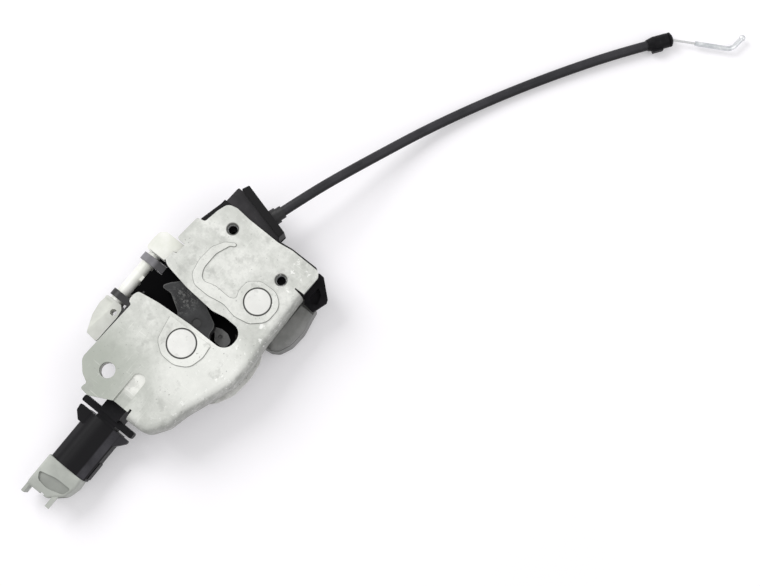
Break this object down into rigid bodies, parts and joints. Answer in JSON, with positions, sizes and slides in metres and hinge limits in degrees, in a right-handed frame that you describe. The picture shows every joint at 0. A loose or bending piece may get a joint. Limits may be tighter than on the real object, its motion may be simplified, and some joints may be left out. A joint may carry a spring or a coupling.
{
  "type": "tailgate latch",
  "caption": "Rotary claw tailgate latch with self-locking pawl, release cable, lock slider and wired connector, lying on its back.",
  "frame": {"origin": "centre of the footprint at the height of the rear cover's lowest face, cable left out", "axes": "+Y along the latch towards the release cable, +Z out of the cover plate, +X to the side away from the striker slot's mouth"},
  "size_m": [0.1688, 0.4063, 0.0306],
  "materials": {
    "zinc_steel": "pale zinc plated pressed steel, slightly worn",
    "dark_steel": "dark phosphated steel",
    "rivet_steel": "zinc plated turned rivet steel",
    "black_plastic": "black glass filled plastic, satin",
    "grey_plastic": "mid grey moulded plastic",
    "white_plastic": "natural white acetal, satin",
    "shell_plastic": "light grey green connector plastic",
    "soft_grey": "soft grey rubber",
    "sheath_black": "black extruded cable sheath, satin",
    "bright_zinc": "bright zinc plated steel",
    "brass_contact": "tinned brass contacts",
    "spring_steel": "spring steel wire"
  },
  "bodies": {
    "latch_frame": {"cover_plate": "zinc_steel", "housing": "black_plastic", "claw_frame": "black_plastic", "pawl_frame": "black_plastic", "back_plate": "zinc_steel", "rear_cover": "black_plastic", "actuator_cover": "grey_plastic", "claw_rivet": "rivet_steel", "pawl_rivet": "rivet_steel", "nut_upper": "zinc_steel", "nut_right": "zinc_steel", "mount_bush": "zinc_steel", "striker_buffer": "soft_grey", "cable_gland": "black_plastic", "cable_sheath": "sheath_black", "cable_ferrule": "black_plastic", "claw_spacer": "rivet_steel", "pawl_spacer": "rivet_steel", "claw_spring": "spring_steel", "pawl_spring": "spring_steel", "claw_stop": "soft_grey", "switch_body": "black_plastic", "rear_screws": "bright_zinc", "bracket_upper": "black_plastic", "bracket_lower": "black_plastic", "guide_block": "white_plastic", "connector_mount": "black_plastic", "connector_sleeve": "black_plastic", "connector_shell": "shell_plastic", "connector_seal": "soft_grey", "terminal_blades": "brass_contact"},
    "claw": {"claw": "dark_steel", "claw_coat": "black_plastic", "claw_cap": "black_plastic"},
    "pawl": {"pawl": "dark_steel", "pawl_pin": "rivet_steel"},
    "cable_end": {"cable_nipple": "bright_zinc", "inner_wire": "bright_zinc"},
    "pull_end": {"wire_end": "bright_zinc", "wire_crimp": "bright_zinc", "pull_hook": "bright_zinc"},
    "lock_slider": {"lock_rod": "white_plastic", "lock_arm": "white_plastic"},
    "switch_plunger": {"switch_plunger": "white_plastic"}
  },
  "joints": [
    {"name": "claw_turn", "type": "hinge", "parent": "latch_frame", "child": "claw", "pos_m": [0.00402, 0.01071, 0.0225], "axis": [0, 0, 1], "range_deg": [0, 75]},
    {"name": "pawl_turn", "type": "hinge", "parent": "latch_frame", "child": "pawl", "pos_m": [0.01962, 0.04881, 0.0225], "axis": [0, 0, 1], "range_deg": [-2, 7.4]},
    {"name": "cable_pull", "type": "slide", "parent": "latch_frame", "child": "cable_end", "axis": [0.3018, 0.9534, 0], "range_m": [-0.00454, 0.00144]},
    {"name": "hook_pull", "type": "slide", "parent": "latch_frame", "child": "pull_end", "axis": [0.874, 0.486, 0], "range_m": [-0.00454, 0.00144]},
    {"name": "lock_slide", "type": "slide", "parent": "latch_frame", "child": "lock_slider", "axis": [0, 1, 0], "range_m": [-0.006, 0]},
    {"name": "switch_press", "type": "slide", "parent": "latch_frame", "child": "switch_plunger", "axis": [0, -1, 0], "range_m": [0, 0.0012], "stiffness_N_per_m": 300}
  ],
  "couplings": [
    {"joint": "cable_pull", "follows": "pawl_turn", "m_per_rad": -0.0328},
    {"joint": "hook_pull", "follows": "pawl_turn", "m_per_rad": -0.0328}
  ]
}
